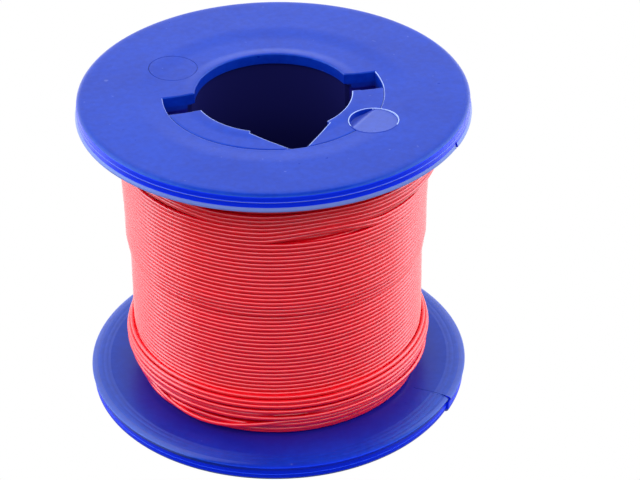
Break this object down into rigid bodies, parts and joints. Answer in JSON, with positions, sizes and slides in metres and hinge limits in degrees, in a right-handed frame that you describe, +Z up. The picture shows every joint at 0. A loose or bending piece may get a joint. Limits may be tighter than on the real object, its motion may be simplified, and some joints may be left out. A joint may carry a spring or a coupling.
{
  "type": "wire spool",
  "caption": "Flanged moulded spool with a keyed bore, wound with thin insulated hook-up wire in close level layers.",
  "frame": {"origin": "on the spool's axis, in the plane of the lower flange's outer face, which is the surface the spool stands on", "axes": "+Z up along the bore axis; +X along the two drive slots; -Y towards the key notch"},
  "size_m": [0.095, 0.095, 0.081],
  "materials": {
    "spool_plastic": "semi-gloss moulded, deep blue",
    "wire_jacket": "smooth soft-gloss PVC, red",
    "wire_copper": "bright copper strand ends"
  },
  "bodies": {
    "root": {"upper_flange": "spool_plastic", "lower_flange": "spool_plastic", "upper_hub_plate_left": "spool_plastic", "upper_hub_plate_right": "spool_plastic", "lower_hub_plate_left": "spool_plastic", "lower_hub_plate_right": "spool_plastic", "winding_barrel": "spool_plastic", "core_sleeve": "spool_plastic", "core_rib_1": "spool_plastic", "core_rib_2": "spool_plastic", "core_rib_3": "spool_plastic", "core_rib_4": "spool_plastic", "core_rib_5": "spool_plastic", "wire_layer_1": "wire_jacket", "wire_layer_2": "wire_jacket", "wire_layer_3": "wire_jacket", "wire_layer_4": "wire_jacket", "wire_layer_5": "wire_jacket", "wire_layer_6": "wire_jacket", "wire_layer_7": "wire_jacket", "wire_upper_layer": "wire_jacket", "wire_crossing_turns": "wire_jacket", "wire_loose_turns": "wire_jacket", "wire_end_jacket": "wire_jacket", "wire_end_copper": "wire_copper"}
  },
  "joints": []
}
